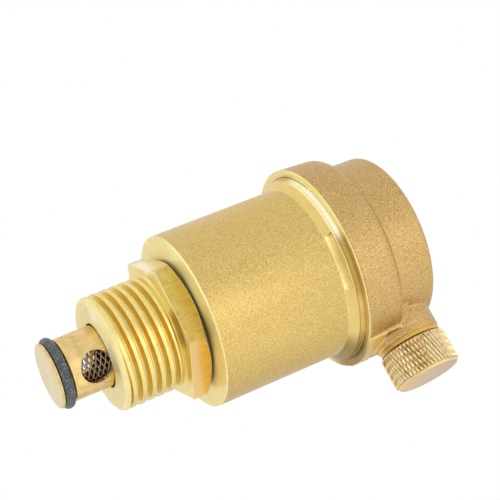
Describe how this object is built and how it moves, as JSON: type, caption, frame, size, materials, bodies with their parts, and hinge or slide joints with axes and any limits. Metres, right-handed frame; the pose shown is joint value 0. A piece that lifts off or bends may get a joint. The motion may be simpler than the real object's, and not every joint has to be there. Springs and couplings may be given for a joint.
{
  "type": "automatic air vent",
  "caption": "Brass float-operated air vent: round barrel, screwed cover with knurled side cap, and a self-closing check valve with male pipe thread.",
  "frame": {"origin": "on the main axis, in the plane of the hexagon's lower face, above the male thread", "axes": "+Z along the main axis from the thread towards the cover, +X along the side outlet"},
  "size_m": [0.0461, 0.0382, 0.0691],
  "materials": {
    "machined_brass": "bright turned and milled brass, light lemon yellow",
    "plunger_brass": "turned brass, tan gold",
    "blasted_brass": "fine sand-blasted brass",
    "cast_brass": "sand-cast brass, coarse matt skin",
    "knurled_brass": "knurled brass, warm gold",
    "black_rubber": "dark grey nitrile rubber",
    "strainer_wire": "woven wire",
    "spring_steel": "stainless wire and turned steel",
    "pressed_steel": "stainless sheet",
    "white_plastic": "moulded polypropylene"
  },
  "bodies": {
    "check_valve": {"check_fitting": "machined_brass", "check_spring": "spring_steel"},
    "plunger": {"check_plunger": "plunger_brass", "plunger_o_ring": "black_rubber", "strainer_mesh": "strainer_wire", "spring_clip": "spring_steel"},
    "spigot_ring": {"spigot_seal": "black_rubber"},
    "vent_head": {"body_barrel": "blasted_brass", "cover": "cast_brass", "cover_gasket": "black_rubber", "vent_nozzle": "machined_brass", "nozzle_seal": "black_rubber", "lever_bracket": "pressed_steel", "bracket_screw": "spring_steel", "lever_pin": "spring_steel"},
    "float": {"float": "white_plastic", "float_hook": "spring_steel"},
    "lever": {"lever": "pressed_steel", "lever_seal": "black_rubber"},
    "cap_washer": {"cap_gasket": "black_rubber"},
    "cap": {"vent_cap": "knurled_brass"}
  },
  "joints": [
    {"name": "plunger_slide", "type": "slide", "parent": "check_valve", "child": "plunger", "axis": [0, 0, 1], "range_m": [0, 0.0066], "deforming": ["check_spring"]},
    {"name": "vent_rise", "type": "slide", "parent": "check_valve", "child": "spigot_ring", "axis": [0, 0, 1], "range_m": [0, 0.0066]},
    {"name": "vent_turn", "type": "hinge", "parent": "spigot_ring", "child": "vent_head", "pos_m": [0, 0, 0], "axis": [0, 0, 1], "range_deg": [0, 1580]},
    {"name": "float_rise", "type": "slide", "parent": "vent_head", "child": "float", "axis": [0, 0, 1], "range_m": [0, 0.00104]},
    {"name": "lever_turn", "type": "hinge", "parent": "vent_head", "child": "lever", "pos_m": [0.0075, 0, 0.03655], "axis": [0, 1, 0], "range_deg": [0, 8]},
    {"name": "cap_travel", "type": "slide", "parent": "vent_head", "child": "cap_washer", "axis": [1, 0, 0], "range_m": [0, 0.003]},
    {"name": "cap_turn", "type": "hinge", "parent": "cap_washer", "child": "cap", "pos_m": [0.024, 0, 0.04125], "axis": [1, 0, 0], "range_deg": [0, 1079]}
  ],
  "couplings": [
    {"joint": "vent_rise", "follows": "vent_turn", "m_per_rad": 0.00023873},
    {"joint": "plunger_slide", "follows": "vent_turn", "m_per_rad": 0.00023873},
    {"joint": "lever_turn", "follows": "float_rise", "rad_per_m": 134.2},
    {"joint": "cap_travel", "follows": "cap_turn", "m_per_rad": 0.00015915}
  ]
}
